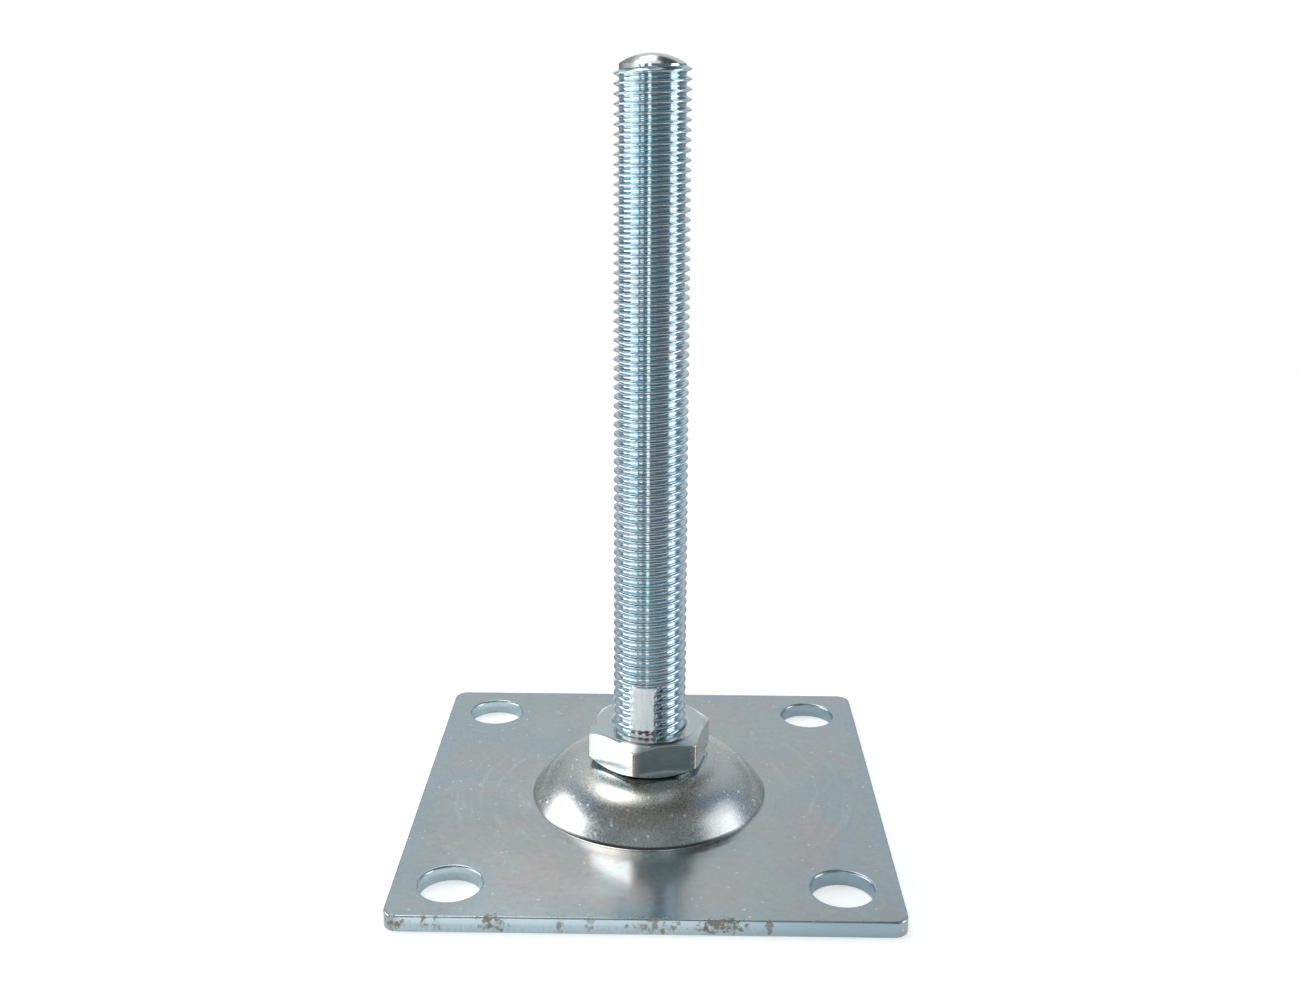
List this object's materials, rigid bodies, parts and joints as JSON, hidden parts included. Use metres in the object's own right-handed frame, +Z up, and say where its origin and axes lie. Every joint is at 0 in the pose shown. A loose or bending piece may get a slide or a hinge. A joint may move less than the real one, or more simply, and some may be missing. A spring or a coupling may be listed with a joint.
{
  "type": "adjustable post base",
  "caption": "Square zinc-plated steel base plate with a pressed dome and a turning threaded spindle, for setting the height of a post or frame.",
  "frame": {"origin": "middle of the base plate's underside, on the spindle's axis", "axes": "+Z up along the spindle, X and Y along the plate's sides"},
  "size_m": [0.1, 0.1, 0.1628],
  "materials": {
    "plate_zinc": "bright zinc plating, smooth rolled sheet",
    "spindle_zinc": "bright blue-white zinc plating on a rolled thread",
    "nut_zinc": "bright zinc plating",
    "washer_zinc": "zinc plating"
  },
  "bodies": {
    "base": {"base_plate": "plate_zinc"},
    "spindle": {"spindle": "spindle_zinc", "hexagon_nut": "nut_zinc", "bearing_washer": "washer_zinc"}
  },
  "joints": [
    {"name": "spindle_turn", "type": "hinge", "parent": "base", "child": "spindle", "pos_m": [0, 0, 0.0101], "axis": [0, 0, 1], "continuous": true}
  ]
}
